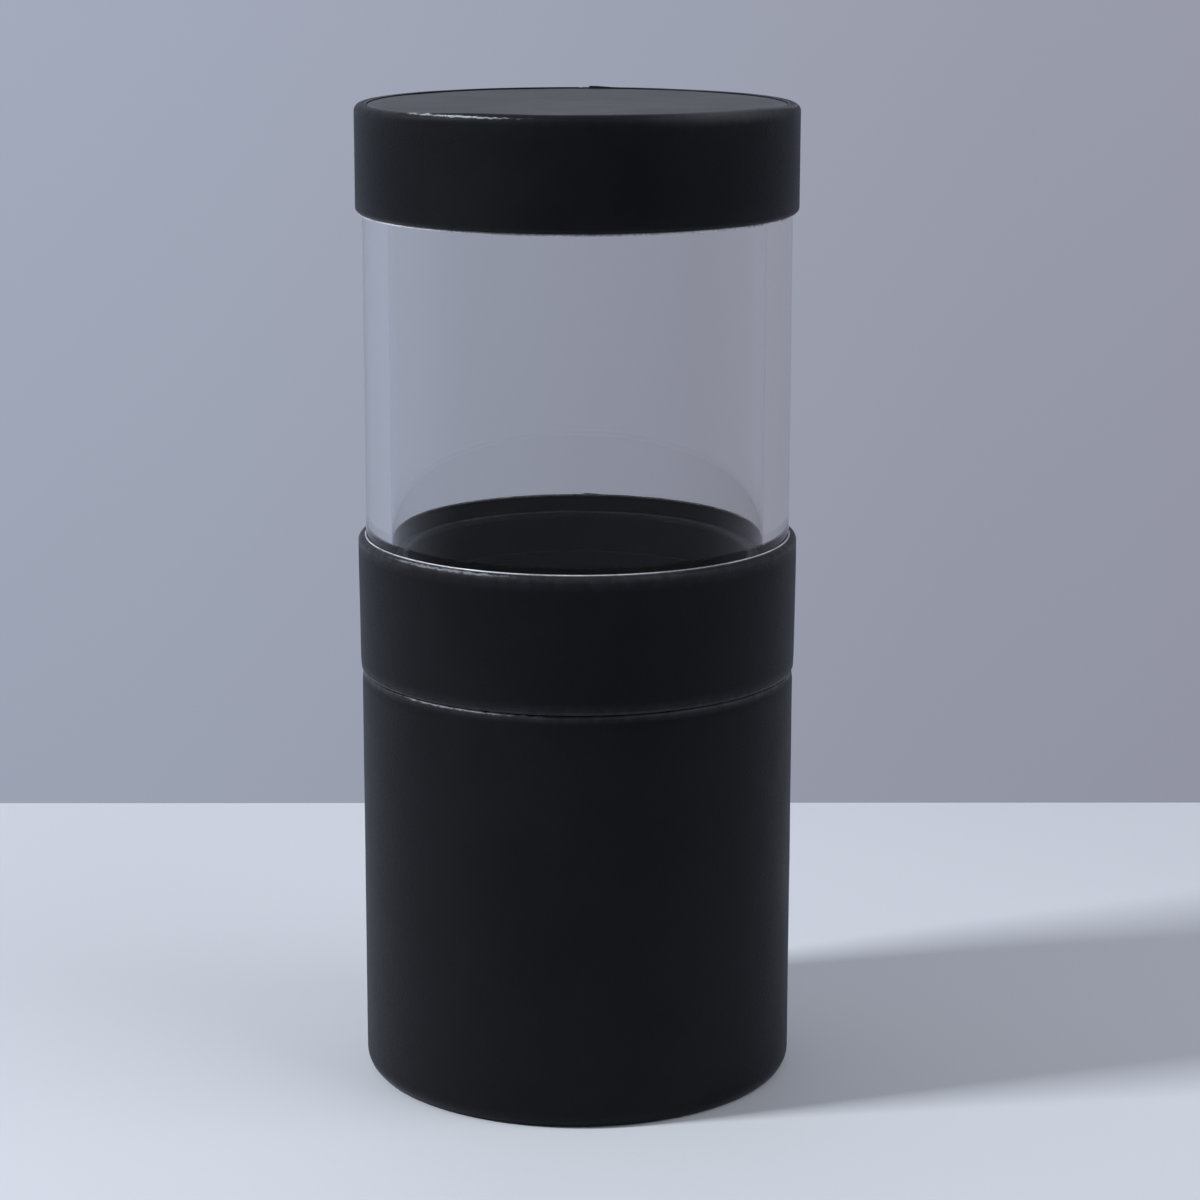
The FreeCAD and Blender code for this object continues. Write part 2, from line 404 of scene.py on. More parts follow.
def profile(corners, closed=True):
    """All points of a section, in order, from its corners."""
    count = len(corners)
    ahead = [*corners[1:], corners[0]]
    threes = list(zip([corners[-1], *corners[:-1]], corners, ahead))
    reaches = [wanted_reach(*three) for three in threes]
    if not closed:
        reaches[0] = reaches[-1] = 0.0
    arcs = []
    for index, three in enumerate(threes):
        edges = edges_at(*three)[1:]
        others = (reaches[index - 1], reaches[(index + 1) % count])
        arcs.append(corner_arc(*three, shared_reach(reaches[index], others, edges)))
    points = []
    for index, arc in enumerate(arcs):
        points.extend(arc)
        if closed or index < count - 1:
            points.extend(straight_run(arc[-1], arcs[(index + 1) % count][0]))
    return points


print("profile helpers ready")

# %% [markdown]
# ## Turning by geometry nodes
#
# A lathe is a rule, so one geometry tree turns every piece: it lays the section down, sweeps it
# round a small circle, draws the segments together at the back and pushes the skin in and out. The
# push has two parts. A soft noise gives leather and felt their uneven lie, and a lap at the back is
# where the two ends of a strip overlap and end in a cut edge. Modelling each piece by hand would
# give the same shape once, but the tree can be turned again with other sizes.

# %% Build the turning tree
PATH_RADIUS = 0.001
SEAL_DISTANCE = 1e-7
NOISE_MIDDLE = 0.5
WAVE_INPUTS = ["Wave Height", "Wave Scale"]
LAP_INPUTS = ["Lap Angle", "Lap Width", "Lap Rise", "Cut Width"]
TURN_INPUTS = {
    "Geometry": ["Geometry"],
    "Int": ["Segments"],
    "Float": ["Gather", *WAVE_INPUTS, *LAP_INPUTS],
    "Material": ["Material"],
}


def new_geometry_tree(name, inputs):
    """An empty geometry tree with named inputs of several kinds, and what they give."""
    tree = bpy.data.node_groups.new(name, "GeometryNodeTree")
    for kind, labels in inputs.items():
        for label in labels:
            tree.interface.new_socket(label, in_out="INPUT", socket_type=f"NodeSocket{kind}")
    tree.interface.new_socket("Geometry", in_out="OUTPUT", socket_type="NodeSocketGeometry")
    return tree, tree.nodes.new("NodeGroupInput").outputs


def close_tree(tree, geometry, material):
    """Ends a tree: real geometry, smooth, in one material."""
    real = add_node(tree, "GeometryNodeRealizeInstances", {"Geometry": geometry})
    smooth = add_node(tree, "GeometryNodeSetShadeSmooth", {"Geometry": real.outputs[0]})
    finish = add_node(
        tree, "GeometryNodeSetMaterial", {"Geometry": smooth.outputs[0], "Material": material}
    )
    add_node(tree, "NodeGroupOutput", {"Geometry": finish.outputs[0]})


def sweep_section(tree, section, segments, axes):
    """The section of edges, laid down and swept round a small circle to a closed, outward mesh."""
    curve = add_node(tree, "GeometryNodeMeshToCurve", {"Mesh": section})
    lying = add_node(tree, "ShaderNodeCombineXYZ", {
        "X": maths(tree, "SUBTRACT", axes["X"], PATH_RADIUS),
        "Y": maths(tree, "MULTIPLY", axes["Z"], -1.0),
    })
    laid = add_node(tree, "GeometryNodeSetPosition", {
        "Geometry": curve.outputs[0], "Position": lying.outputs[0]
    })
    path = add_node(tree, "GeometryNodeCurvePrimitiveCircle", {
        "Resolution": segments, "Radius": PATH_RADIUS
    })
    swept = add_node(tree, "GeometryNodeCurveToMesh", {
        "Curve": path.outputs[0], "Profile Curve": laid.outputs[0]
    })
    outward = add_node(tree, "GeometryNodeFlipFaces", {"Mesh": swept.outputs[0]})
    sealed = add_node(tree, "GeometryNodeMergeByDistance", {
        "Geometry": outward.outputs[0], "Distance": SEAL_DISTANCE
    })
    return sealed.outputs[0]


def lap_height(tree, given, axes, angle):
    """The height of the lap: a slow climb up to its angle, and a short drop at the cut edge."""
    from_lap = maths(tree, "SUBTRACT", angle, given["Lap Angle"])
    from_lap = maths(tree, "WRAP", from_lap, -math.pi, math.pi)
    squares = [maths(tree, "MULTIPLY", axes[name], axes[name]) for name in "XY"]
    along = maths(tree, "MULTIPLY", from_lap, maths(tree, "SQRT", maths(tree, "ADD", *squares)))
    lap_start = maths(tree, "MULTIPLY", given["Lap Width"], -1.0)
    climb = map_range(tree, along, lap_start, 0.0, smooth=True)
    drop = map_range(tree, along, 0.0, given["Cut Width"], 1.0, 0.0)
    return maths(tree, "MULTIPLY", maths(tree, "MULTIPLY", climb, drop), given["Lap Rise"])


def build_turning_tree():
    """The tree that turns a section of mesh edges into a solid of revolution."""
    tree, given = new_geometry_tree("turned_piece", TURN_INPUTS)
    place = add_node(tree, "GeometryNodeInputPosition").outputs[0]
    axes = axes_of(tree, place)
    angle = angle_of(tree, axes)
    sealed = sweep_section(tree, given["Geometry"], given["Segments"], axes)
    to_back = maths(tree, "MULTIPLY", given["Gather"], maths(tree, "COSINE", angle))
    gathered = add_node(
        tree, "ShaderNodeVectorRotate", {"Vector": place, "Angle": to_back}, rotation_type="Z_AXIS"
    )
    round_piece = add_node(tree, "GeometryNodeSetPosition", {
        "Geometry": sealed, "Position": gathered.outputs[0]
    })
    noise = noise_texture(tree, place, given["Wave Scale"], detail=1.0)
    swing = maths(tree, "SUBTRACT", noise, NOISE_MIDDLE)
    wave = maths(tree, "MULTIPLY", swing, given["Wave Height"])
    lap = lap_height(tree, given, axes, angle)
    skin = add_node(
        tree, "GeometryNodeInputNamedAttribute", {"Name": "skin"}, data_type="FLOAT"
    ).outputs[0]
    push = maths(tree, "MULTIPLY", maths(tree, "ADD", wave, lap), skin)
    normal = add_node(tree, "GeometryNodeInputNormal").outputs[0]
    offset = add_node(
        tree, "ShaderNodeVectorMath", {0: normal, "Scale": push}, operation="SCALE"
    ).outputs[0]
    waved = add_node(tree, "GeometryNodeSetPosition", {
        "Geometry": round_piece.outputs[0], "Offset": offset
    })
    close_tree(tree, waved.outputs[0], given["Material"])
    return tree


turning_tree = build_turning_tree()
print("turning tree:", len(turning_tree.nodes), "nodes")

# %% [markdown]
# A modifier carries the tree, and its inputs are set by the identifiers that the tree gave them.
# The evaluated result is then copied to a plain mesh, because a finished piece has no modifier
# left, sits at the origin and can be exported as it is.

# %% Turn a piece
SEGMENTS = 288
GATHER_AT_BACK = 0.85
LAP_CUT = 0.12 * MM
Lap = namedtuple("Lap", "angle width rise")
NO_LAP = Lap(angle=90.0, width=1.0, rise=0.0)


def set_inputs(modifier, values):
    """Fills a geometry modifier's inputs by name, through the sockets' identifiers."""
    for item in modifier.node_group.interface.items_tree:
        if item.in_out == "INPUT" and item.name in values:
            modifier[item.identifier] = values[item.name]


def plain_copy(name, source):
    """A new object with the evaluated mesh of another, which is then removed."""
    depsgraph = bpy.context.evaluated_depsgraph_get()
    mesh = bpy.data.meshes.new_from_object(
        source.evaluated_get(depsgraph), preserve_all_data_layers=True, depsgraph=depsgraph
    )
    mesh.name = name
    bpy.data.objects.remove(source)
    piece = bpy.data.objects.new(name, mesh)
    bpy.context.scene.collection.objects.link(piece)
    return piece


def turn(name, corners, material, closed=True, wave=0.0, wave_size=12.0, lap=NO_LAP):
    """A finished turned piece, in millimetres, with the angle of its lap in degrees."""
    points = profile(corners, closed)
    places = [(point.x * MM, 0.0, point.y * MM) for point, weights in points]
    edges = [(index, index + 1) for index in range(len(points) - 1)]
    if closed:
        edges.append((len(points) - 1, 0))
    mesh = bpy.data.meshes.new(f"{name}_section")
    mesh.from_pydata(places, edges, [])
    for label, column in (("skin", 0), ("wear", 1)):
        attribute = mesh.attributes.new(label, "FLOAT", "POINT")
        attribute.data.foreach_set("value", [weights[column] for point, weights in points])
    section = bpy.data.objects.new(f"{name}_section", mesh)
    bpy.context.scene.collection.objects.link(section)
    lathe = section.modifiers.new("turned", "NODES")
    lathe.node_group = turning_tree
    set_inputs(lathe, {
        "Segments": SEGMENTS,
        "Gather": GATHER_AT_BACK if lap.rise else 0.0,
        "Wave Height": 2 * wave * MM,
        "Wave Scale": 1 / (wave_size * MM),
        "Lap Angle": math.radians(lap.angle),
        "Lap Width": lap.width * MM,
        "Lap Rise": lap.rise * MM,
        "Cut Width": LAP_CUT,
        "Material": material,
    })
    piece = plain_copy(name, section)
    print(f"{name}: {len(points)} section points, {len(piece.data.polygons)} faces")
    return piece


def place_piece(piece, body, slot, *nodes):
    """Attaches a piece to the body it rides on and hides the pieces it stands for; its finish is
    not used.
    """
    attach(piece, body)
    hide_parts(*nodes)


print("lathe ready")

# %% [markdown]
# ## Black leather
#
# The leather is a matte black skin with a fine pebble grain, about half a millimetre across. The
# grain is far too small to model, so a Voronoi pattern drives the bump, with a slower noise below
# it for the uneven lie of the hide. Rubbed edges are smoother and a little lighter: they read the
# wear weight that each turned piece carries. On the lip of the cup and the collar that lighter edge
# tone is also a painted highlight. A pale line round one compass angle, broken up by a noise, is
# painted where the key light glints on an edge: on the lid's rim it is partly the black skin rubbed
# through to the pale fibre and partly a painted highlight, and on the lip of the cup and the collar
# it is a fainter painted highlight. The same kind of mask, wide and even, paints a smooth grey
# highlight of the right-hand light on the shoulder of the lid at the front right.

# %% Bump, wear and painted highlights
Bump = namedtuple("Bump", "height strength depth")
WearAndHighlight = namedtuple(
    "WearAndHighlight", "angle spread height depth colour strength even bare full", defaults=(0.45, 0.25, 0.6)
)
WANDER_SCALE = 900.0
WANDER = 0.12


def add_bump(tree, shader, *bumps):
    """Layers of bump on a shader, with their depth in millimetres."""
    normal = None
    for bump in bumps:
        inputs = {"Height": bump.height, "Strength": bump.strength, "Distance": bump.depth * MM}
        if normal is not None:
            inputs["Normal"] = normal
        normal = add_node(tree, "ShaderNodeBump", inputs).outputs[0]
    tree.links.new(normal, shader.inputs["Normal"])


def wear_and_highlight_mask(tree, place, patches, wear_and_highlights):
    """A ragged band at a height on a rim, round one compass angle and thinning out from there."""
    axes = axes_of(tree, place)
    away = maths(tree, "SUBTRACT", angle_of(tree, axes), math.radians(wear_and_highlights.angle))
    away = maths(tree, "ABSOLUTE", maths(tree, "WRAP", away, math.pi, -math.pi))
    near = map_range(tree, away, math.radians(wear_and_highlights.spread), 0.0, smooth=True)
    wander = from_noise(tree, noise_texture(tree, place, WANDER_SCALE), -WANDER * MM, WANDER * MM)
    off = maths(tree, "SUBTRACT", maths(tree, "ADD", axes["Z"], wander), wear_and_highlights.height * MM)
    band = map_range(tree, maths(tree, "ABSOLUTE", off), wear_and_highlights.depth * MM, 0.0, smooth=True)
    ragged = from_noise(tree, patches, wear_and_highlights.even, 1.0)
    mask = maths(tree, "MULTIPLY", maths(tree, "MULTIPLY", near, band), ragged)
    return map_range(tree, mask, wear_and_highlights.bare, wear_and_highlights.full, 0.0, wear_and_highlights.strength)


print("bump and wear helpers ready")

# %% Leather finish
COOL_SHEEN = (0.82, 0.86, 1.0, 1.0)
PLAIN_SHEEN = (1.0, 0.99, 0.97, 1.0)
LIE_SCALE = 60.0
PATCH_SCALE = 500.0
PORES_PER_GRAIN = 2.5
PORE_SHARE = 0.5
TONE_RANGE = (0.35, 0.65)
GRAIN_RANGE = (0.2, 0.7)
PEBBLE_RANGE = (0.15, 0.75)
RUB_LEAST = 0.35
RUB_POLISH = 0.36
LIE_ROUGHNESS = 0.05
GRAIN_ROUGHNESS = 0.06


def leather_finish(
    name, grain_size, dark, light, rubbed_and_highlight, rough=0.57, sheen=0.13, tint=COOL_SHEEN, wear_and_highlights=()
):
    """Black leather: pebble grain in the bump, uneven roughness, rubbed edges and painted
    highlights.
    """
    material, tree, shader, place = new_material(name)
    grain_scale = 1 / (grain_size * MM)
    grain = cell_texture(tree, place, grain_scale)
    pores = noise_texture(tree, place, PORES_PER_GRAIN * grain_scale, detail=2.0)
    lie = noise_texture(tree, place, LIE_SCALE)
    patches = noise_texture(tree, place, PATCH_SCALE, detail=4.0)
    wear = add_node(tree, "ShaderNodeAttribute", attribute_name="wear").outputs["Fac"]
    rub_and_highlight = maths(tree, "MULTIPLY", wear, from_noise(tree, patches, RUB_LEAST, 1.0))
    tone = colour_mix(tree, map_range(tree, lie, *TONE_RANGE), dark, light)
    # Lighter tone on worn edges; on the edged leathers this tone is also a painted highlight
    tone = colour_mix(tree, rub_and_highlight, tone, rubbed_and_highlight)
    # Each mask paints a pale line where a light glints: painted highlight, partly rubbed fibre on
    # the lid's rim
    for spot in wear_and_highlights:
        tone = colour_mix(tree, wear_and_highlight_mask(tree, place, patches, spot), tone, spot.colour)
    roughness = from_noise(tree, lie, rough - LIE_ROUGHNESS, rough + LIE_ROUGHNESS)
    grainy = map_range(tree, grain, *GRAIN_RANGE, 0.0, GRAIN_ROUGHNESS)
    roughness = maths(tree, "ADD", roughness, grainy)
    roughness = maths(tree, "SUBTRACT", roughness, maths(tree, "MULTIPLY", rub_and_highlight, RUB_POLISH))
    pebble = maths(tree, "SUBTRACT", 1.0, map_range(tree, grain, *PEBBLE_RANGE, smooth=True))
    height = maths(tree, "ADD", pebble, maths(tree, "MULTIPLY", pores, PORE_SHARE))
    pebbles = Bump(height, strength=0.35, depth=0.05)
    add_bump(tree, shader, pebbles, Bump(lie, strength=0.25, depth=0.4))
    fill_inputs(tree, shader, {
        "Base Color": tone,
        "Roughness": roughness,
        "Specular IOR Level": 0.13,
        "Sheen Weight": sheen,
        "Sheen Roughness": 0.4,
        "Sheen Tint": tint,
    })
    return material


print("leather recipe ready")

# %% Leathers with wear and painted highlights
# Pale fibre colour, also used as painted highlight white for the lines where the key light glints
FIBRE_AND_HIGHLIGHT_WHITE = (0.55, 0.55, 0.57, 1.0)
# Painted highlight colour of the right-hand light on the lid's shoulder
SHOULDER_HIGHLIGHT_GREY = (0.062, 0.062, 0.065, 1.0)
RIM_LINE_RISE = 0.18
RIM_GREY_RISE = 0.35
LIP_LINE_DROP = 0.35
COLLAR_LINE_DROP = 0.3

# Partly the rim rubbed through to pale fibre, partly a painted highlight where the key light glints
# at the front left
rim_fibre_and_highlight = WearAndHighlight(
    angle=238.0,
    spread=33.0,
    height=size["lid_wrap"].high + RIM_LINE_RISE,
    depth=0.3,
    colour=FIBRE_AND_HIGHLIGHT_WHITE,
    strength=0.78,
)
# A painted highlight: the right-hand light's soft glint on the lid's shoulder at the front right
rim_fill_highlight = WearAndHighlight(
    angle=315.0,
    spread=34.0,
    height=size["lid_wrap"].high + RIM_GREY_RISE,
    depth=2.4,
    colour=SHOULDER_HIGHLIGHT_GREY,
    strength=1.0,
    even=0.9,
    bare=0.0,
    full=0.9,
)
# A painted highlight where the key light glints on the lip of the cup
lip_key_highlight = rim_fibre_and_highlight._replace(
    angle=236.0,
    spread=40.0,
    height=size["cup_wrap"].high - LIP_LINE_DROP,
    depth=0.4,
    strength=0.5,
)
# A painted highlight where the key light glints on the collar's upper rounding
collar_key_highlight = rim_fibre_and_highlight._replace(
    angle=234.0,
    spread=36.0,
    height=size["collar_wrap"].high - COLLAR_LINE_DROP,
    depth=0.35,
    strength=0.4,
)
BLACK_LEATHER = {
    "grain_size": 0.45,
    "dark": (0.0035, 0.0037, 0.0047, 1.0),
    "light": (0.0058, 0.006, 0.0073, 1.0),
    "rubbed_and_highlight": (0.02, 0.02, 0.022, 1.0),
}
# Its lighter edge tone is wear and a painted highlight on the rounded edges
WORN_AND_HIGHLIT_EDGE_LEATHER = {**BLACK_LEATHER, "rubbed_and_highlight": (0.05, 0.05, 0.055, 1.0)}
leather = leather_finish("leather", **BLACK_LEATHER)
lip_leather_painted_highlight = leather_finish("lip_leather_painted_highlight", wear_and_highlights=(lip_key_highlight,), **WORN_AND_HIGHLIT_EDGE_LEATHER)
band_leather_painted_highlight = leather_finish("band_leather_painted_highlight", wear_and_highlights=(collar_key_highlight,), **WORN_AND_HIGHLIT_EDGE_LEATHER)
rim_leather_fibre_and_highlights = leather_finish("rim_leather_fibre_and_highlights", wear_and_highlights=(rim_fibre_and_highlight, rim_fill_highlight), **BLACK_LEATHER)
top_leather = leather_finish(
    "top_leather", rough=0.4, sheen=0.23, tint=PLAIN_SHEEN, **BLACK_LEATHER
)
neck_covering = leather_finish(
    "neck_covering",
    grain_size=0.25,
    dark=(0.002, 0.002, 0.0025, 1.0),
    light=(0.004, 0.004, 0.005, 1.0),
    rubbed_and_highlight=(0.012, 0.012, 0.013, 1.0),
    sheen=0.01,
)
print("leather finishes ready")

# %% [markdown]
# ## Clear plastic
#
# The tube is polished acrylic with a thick wall. The wall bends light, so its sides show as paler
# bands and the space inside looks narrower than the tube. That only comes out right when the wall
# is real geometry and the shader has the plastic's index of refraction. Drawn tube keeps faint
# lines along its length, which are a very weak bump stretched along the axis. Its two ends are sawn
# and only lightly smoothed, so they are satin, which shows when the lid is off.

# %% Clear finish
SAWN_ROUGHNESS = 0.42
SAWN_DEPTH = 0.25
SAWN_FULL = 0.05
ACRYLIC = (0.95, 0.945, 0.945, 1.0)
ACRYLIC_IOR = 1.49
DRAWN_STRETCH = (1.0, 1.0, 0.02)
DRAWN_SCALE = 700.0
HAZE_SCALE = 45.0
HAZE_RANGE = (0.45, 0.75)
HAZE_ROUGHNESS = 0.03


def sawn_ends(tree, place, tube):
    """A mask of the two end faces of a tube."""
    height = axes_of(tree, place)["Z"]
    below_top = maths(tree, "SUBTRACT", tube.high * MM, height)
    above_foot = maths(tree, "SUBTRACT", height, tube.low * MM)
    inward = maths(tree, "MINIMUM", below_top, above_foot)
    return map_range(tree, inward, SAWN_DEPTH * MM, SAWN_FULL * MM, smooth=True)


def clear_finish():
    """Polished acrylic with faint lines along the axis, a breath of haze and satin ends."""
    material, tree, shader, place = new_material("clear_plastic")
    stretched = add_node(tree, "ShaderNodeMapping", {"Vector": place, "Scale": DRAWN_STRETCH})
    lines = noise_texture(tree, stretched.outputs[0], DRAWN_SCALE, detail=2.0)
    haze = noise_texture(tree, place, HAZE_SCALE)
    polish = map_range(tree, haze, *HAZE_RANGE, 0.0, HAZE_ROUGHNESS)
    satin = maths(tree, "MULTIPLY", sawn_ends(tree, place, size["clear_tube"]), SAWN_ROUGHNESS)
    add_bump(tree, shader, Bump(lines, strength=0.05, depth=0.02))
    fill_inputs(tree, shader, {
        "Base Color": ACRYLIC,
        "Roughness": maths(tree, "MAXIMUM", polish, satin),
        "IOR": ACRYLIC_IOR,
        "Transmission Weight": 1.0,
    })
    return material


clear_plastic = clear_finish()
print("clear finish ready")

# %% [markdown]
# ## Felt, board, glue and fibre
#
# Felt is short fibre with no shine, so it has full roughness, a soft sheen and a tangled bump. The
# board under the leather shows only where the holder comes apart: grey pressed card with flecks.
# A bead of pale glue is squeezed out where leather meets the tube, and shows as the thin light line
# at the lid and the collar.

# %% Soft and hidden finishes
FELT_DARK = (0.003, 0.003, 0.0035, 1.0)
FELT_LIGHT = (0.01, 0.01, 0.0115, 1.0)
FELT_RANGE = (0.15, 0.4)
BOARD_DARK = (0.10, 0.095, 0.09, 1.0)
BOARD_LIGHT = (0.17, 0.16, 0.15, 1.0)
FLECK = (0.24, 0.23, 0.21, 1.0)
FLECK_RANGE = (0.06, 0.14)
THREAD_SHARE = 0.4
THREAD_RANGE = (0.35, 0.62)
THREAD_ROUGHNESS = 0.15


def felt_finish():
    """Short black felt."""
    material, tree, shader, place = new_material("felt")
    tangle = noise_texture(tree, place, scale=1800.0, detail=5.0, distortion=1.5)
    cloud = noise_texture(tree, place, scale=120.0)
    shade = map_range(tree, maths(tree, "MULTIPLY", tangle, cloud), *FELT_RANGE)
    add_bump(tree, shader, Bump(tangle, strength=0.8, depth=0.15))
    fill_inputs(tree, shader, {
        "Base Color": colour_mix(tree, shade, FELT_DARK, FELT_LIGHT),
        "Roughness": from_noise(tree, cloud, 0.9, 1.0),
        "Specular IOR Level": 0.15,
        "Sheen Weight": 0.04,
        "Sheen Roughness": 0.6,
    })
    return material


def board_finish():
    """Grey pressed board with fibre flecks."""
    material, tree, shader, place = new_material("board")
    fibres = noise_texture(tree, place, scale=900.0, detail=4.0, distortion=2.0)
    flecks = cell_texture(tree, place, scale=500.0)
    tone = colour_mix(tree, map_range(tree, fibres, *TONE_RANGE), BOARD_DARK, BOARD_LIGHT)
    spotted = colour_mix(tree, map_range(tree, flecks, *FLECK_RANGE), FLECK, tone)
    roughness = from_noise(tree, fibres, 0.8, 0.95)
    add_bump(tree, shader, Bump(fibres, strength=0.4, depth=0.08))
    fill_inputs(tree, shader, {"Base Color": spotted, "Roughness": roughness})
    return material


def pale_finish(name, dark, light, gloss):
    """Pale fibre or glue at a leather edge, uneven along its length."""
    material, tree, shader, place = new_material(name)
    threads = noise_texture(tree, place, scale=1500.0)
    stretch = noise_texture(tree, place, scale=160.0, detail=2.0)
    finer = maths(tree, "SUBTRACT", threads, stretch)
    shade = maths(tree, "MULTIPLY_ADD", finer, THREAD_SHARE, stretch)
    tone = colour_mix(tree, map_range(tree, shade, *THREAD_RANGE), dark, light)
    roughness = from_noise(tree, threads, gloss, gloss + THREAD_ROUGHNESS)
    add_bump(tree, shader, Bump(threads, strength=0.4, depth=0.05))
    fill_inputs(tree, shader, {"Base Color": tone, "Roughness": roughness})
    return material


felt = felt_finish()
board = board_finish()
glue = pale_finish("glue_bead", (0.36, 0.36, 0.37, 1.0), (0.85, 0.85, 0.86, 1.0), 0.25)
raw_fibre = pale_finish("raw_fibre", (0.72, 0.72, 0.73, 1.0), (0.95, 0.95, 0.96, 1.0), 0.45)
print("soft and hidden finishes ready")

# %% [markdown]
# ## The base
#
# The cup is a board wall with leather pulled round it, turned in at the top and under the bottom.
# The leather thins and draws in at the parting seam, which gives the soft groove there. At the foot
# it sags onto the table, outside the disc that the cup rests on. Its two ends overlap at the back.
# Many corners share one of four small roundings, from a tight fold to a soft one.

# %% Cup leather
GLUE_LINE = 0.05
TIGHT = 0.05
CUT = 0.1
BLUNT = 0.2
SOFT = 0.3
SEAM_TAPER = 2.5
SEAM_DRAW = 0.3
CUP_LIP_ROUND = 0.8
HEM_ROUND = 2.05
FOOT_DRAW = 1.47
FOOT_RISE = 1.19
FOOT_ROUND = 4.0
FOOT_LIFT = 0.02
FOOT_TOP = 8.0
EASED = 10.0

cup = size["cup_wrap"]
wall = size["cup_wall"]
collar = size["collar_wrap"]
foot = size["cup_bottom_cover"]
leather_bore = wall.outer + GLUE_LINE

cup_leather = turn(
    "cup_leather",
    [
        held(cup.inner, cup.low, CUT),
        held(foot.outer + GLUE_LINE, cup.low),
        held(foot.outer + GLUE_LINE, FOOT_LIFT),
        held(cup.outer - FOOT_DRAW, FOOT_LIFT, SOFT),
        held(cup.outer, FOOT_RISE, FOOT_ROUND),
        Corner(cup.outer, FOOT_TOP),
        Corner(cup.outer, cup.high - SEAM_TAPER, EASED),
        Corner(cup.outer - SEAM_DRAW, cup.high, CUP_LIP_ROUND, wear=1.0),
        Corner(collar.inner, cup.high, SOFT),
        held(collar.inner, wall.high),
        held(leather_bore, wall.high),
        held(leather_bore, wall.low, HEM_ROUND),
        held(cup.inner, wall.low),
    ],
    lip_leather_painted_highlight,
    wave=0.05,
    wave_size=16.0,
    lap=Lap(angle=92.0, width=7.0, rise=0.3),
)
place_piece(cup_leather, "base", "leather", "cup_wrap")

# %% [markdown]
# The neck stands up inside the collar and keeps the cover in place. Its thin covering turns over
# the rim and ends a little way down the inside, where the felt lining meets it. A felt pad lies
# on the floor.

# %% Neck, lining and pad
NECK_ROUND = 1.0
LINING_ROUND = 0.35
PAD_DROP = 0.5
PAD_ROUND = 0.8
PAD_CROWN_AT = 0.8
PAD_CROWN = 0.05

neck = size["neck_wrap"]
neck_board = size["neck_tube"]
lining = size["cup_lining"]
pad = size["cup_floor_pad"]
neck_bore = neck_board.outer + GLUE_LINE

neck_sleeve = turn(
    "neck_sleeve",
    [
        held(neck_bore, neck.low),
        Corner(neck.outer, neck.low, CUT),
        Corner(neck.outer, neck.high, NECK_ROUND, wear=0.8),
        Corner(neck.inner, neck.high, NECK_ROUND, wear=0.8),
        Corner(neck.inner, lining.high, CUT),
        held(lining.outer, lining.high),
        held(lining.outer, neck_board.high),
        held(neck_bore, neck_board.high),
    ],
    neck_covering,
    wave=0.04,
    wave_size=9.0,
    lap=Lap(angle=97.0, width=5.0, rise=0.15),
)
place_piece(neck_sleeve, "base", "neck_covering", "neck_wrap")

felt_lining = turn(
    "felt_lining",
    [
        Corner(lining.inner, lining.low, CUT),
        held(lining.outer, lining.low),
        held(lining.outer, lining.high, CUT),
        Corner(lining.inner, lining.high, LINING_ROUND),
    ],
    felt,
    wave=0.12,
    wave_size=7.0,
    lap=Lap(angle=84.0, width=3.0, rise=0.2),
)
place_piece(felt_lining, "base", "lining", "cup_lining")

felt_pad = turn(
    "felt_pad",
    [
        held(0.0, pad.low),
        held(pad.outer, pad.low, BLUNT),
        Corner(pad.outer, pad.high - PAD_DROP, PAD_ROUND),
        Corner(pad.outer * PAD_CROWN_AT, pad.high - PAD_CROWN, EASED),
        Corner(0.0, pad.high),
    ],
    felt,
    closed=False,
    wave=0.08,
    wave_size=11.0,
)
place_piece(felt_pad, "base", "lining", "cup_floor_pad")

# %% [markdown]
# A leather disc is glued under the cup. It hides the turned hem and is the face that the holder
# rests on, so its underside stays flat.

# %% Bottom disc
bottom_disc = turn(
    "bottom_disc",
    [
        held(0.0, foot.low),
        Corner(foot.outer, foot.low, CUT, skin=0.0, wear=1.0),
        held(foot.outer, foot.high),
        held(0.0, foot.high),
    ],
    leather,
    closed=False,
)
place_piece(bottom_disc, "base", "leather", "cup_bottom_cover")

# %% [markdown]
# ## The cover
#
# The clear tube has a real wall with rounded edges, so light bends in it as in the real one. The
# collar is a leather band that turns under the tube and is rounded off at its upper edge, where a
# bead of glue makes a fine bright line against the tube. The band is a little fuller near there.

# %% Clear tube
TUBE_EDGE = 0.4

tube = size["clear_tube"]
clear_tube = turn(
    "clear_tube_wall",
    [
        Corner(tube.inner, tube.low, TUBE_EDGE),
        Corner(tube.outer, tube.low, TUBE_EDGE),
        Corner(tube.outer, tube.high, TUBE_EDGE),
        Corner(tube.inner, tube.high, TUBE_EDGE),
    ],
    clear_plastic,
    wave=0.006,
    wave_size=25.0,
)
place_piece(clear_tube, "cover", "clear_plastic", "clear_tube")

# %% Collar leather and its bead
COLLAR_LIP_ROUND = 0.5
COLLAR_ROUND = 1.1
COLLAR_FULL = 5.0
COLLAR_SLACK = 0.2
BEAD_SHOW = 0.18
BEAD_WIDTH = 0.25

